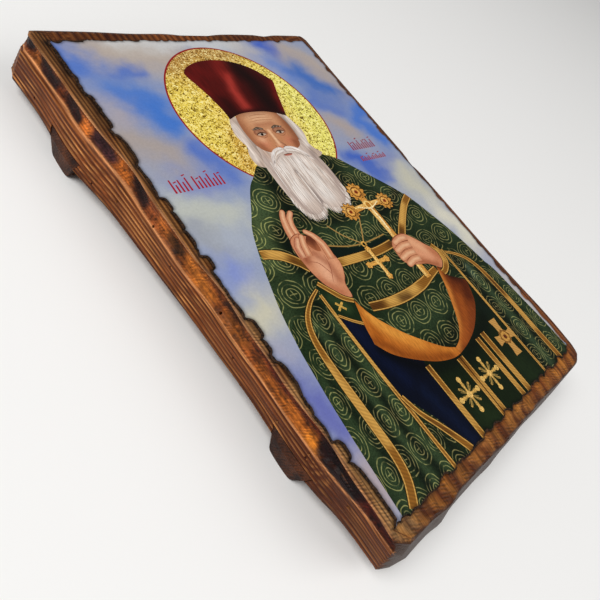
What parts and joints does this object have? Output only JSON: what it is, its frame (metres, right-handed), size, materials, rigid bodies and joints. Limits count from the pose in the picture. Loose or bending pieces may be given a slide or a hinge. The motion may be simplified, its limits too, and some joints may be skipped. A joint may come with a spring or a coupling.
{
  "type": "icon panel",
  "caption": "Hewn pine icon panel with a torn-edged printed picture on its front and dovetail battens let into its back; stands on a shelf or lies on its back.",
  "frame": {"origin": "middle of the whole panel, at the surface it lies on, which is the underside of the two battens", "axes": "+Z out of the picture, +Y towards the top of the picture, +X towards the picture's right"},
  "size_m": [0.224, 0.3264, 0.0378],
  "materials": {
    "stained_pine": "brushed, scorched and stained pine under satin varnish",
    "dark_stained_pine": "dark stained pine",
    "varnished_print": "printed paper with torn, scorched edges under satin varnish"
  },
  "bodies": {
    "root": {"slab": "stained_pine", "upper_batten": "dark_stained_pine", "lower_batten": "dark_stained_pine", "printed_sheet": "varnished_print"}
  },
  "joints": []
}
